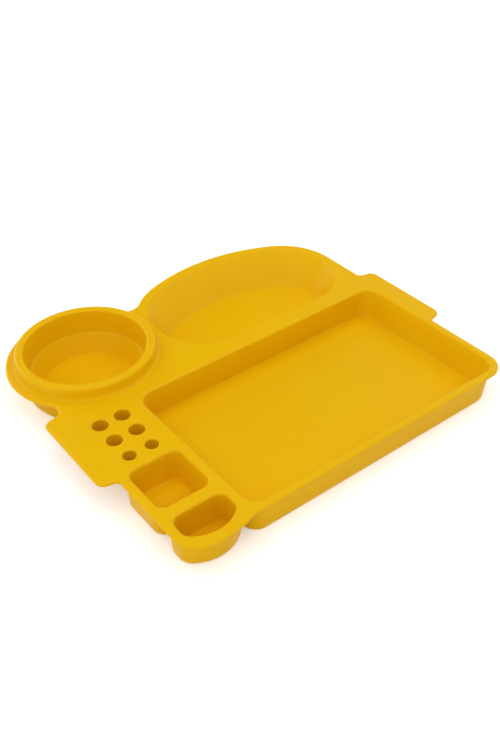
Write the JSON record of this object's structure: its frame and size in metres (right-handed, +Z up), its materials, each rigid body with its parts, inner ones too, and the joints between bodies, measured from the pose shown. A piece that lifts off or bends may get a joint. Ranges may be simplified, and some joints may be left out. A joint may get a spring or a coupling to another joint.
{
  "type": "treatment tray",
  "caption": "Moulded treatment tray with a long instrument well, D-shaped bowl, collared cup for a round container, pockets, tube sockets and grip tabs.",
  "frame": {"origin": "bottom centre of the bounding box, on the surface the tray stands on", "axes": "+X along the instrument well to its right grip tab, +Y to the back where the bowl and the cup are, +Z up"},
  "size_m": [0.3722, 0.3274, 0.0415],
  "materials": {
    "yellow_plastic": "satin moulded plastic, one colour throughout"
  },
  "bodies": {
    "root": {"deck": "yellow_plastic", "instrument_well": "yellow_plastic", "rear_bowl": "yellow_plastic", "square_pocket": "yellow_plastic", "corner_pocket": "yellow_plastic", "container_cup": "yellow_plastic", "container_collar": "yellow_plastic", "tube_socket_1": "yellow_plastic", "tube_socket_2": "yellow_plastic", "tube_socket_3": "yellow_plastic", "tube_socket_4": "yellow_plastic", "tube_socket_5": "yellow_plastic", "tube_socket_6": "yellow_plastic"}
  },
  "joints": []
}
